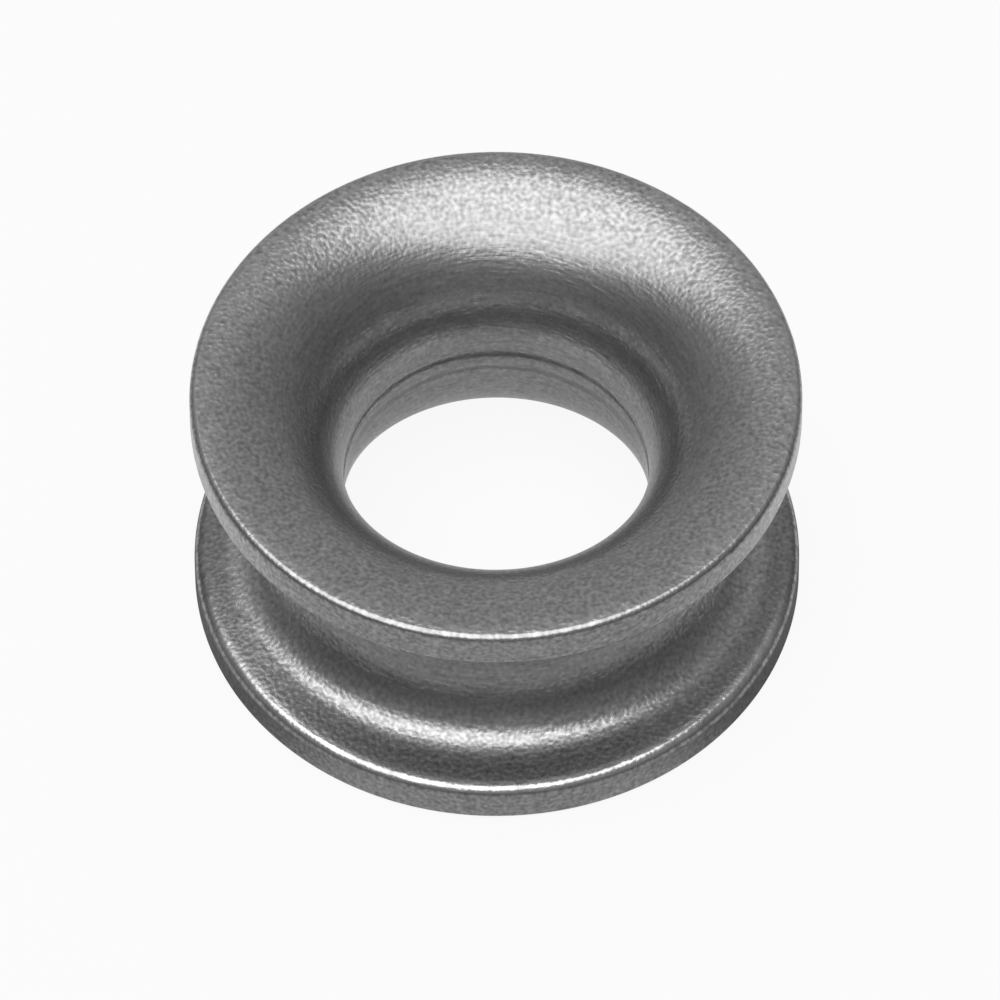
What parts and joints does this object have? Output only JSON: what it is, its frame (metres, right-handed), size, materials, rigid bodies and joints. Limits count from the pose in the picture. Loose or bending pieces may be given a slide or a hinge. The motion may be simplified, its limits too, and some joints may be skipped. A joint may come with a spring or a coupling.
{
  "type": "rope fairlead eye",
  "caption": "Round turned ring that guides a rope through a flared eye, with a rounded groove outside for its lashing.",
  "frame": {"origin": "middle of the eye, which is the centre of the ring's box", "axes": "+Z along the eye's axis, the way the rope leaves it; the ring is the same all round Z and the same upside down"},
  "size_m": [0.04, 0.04, 0.02],
  "materials": {
    "anodised_ring": "hard anodised grey, satin, with a fine blasted grain and faint turning marks"
  },
  "bodies": {
    "root": {"fairlead_ring": "anodised_ring"}
  },
  "joints": []
}
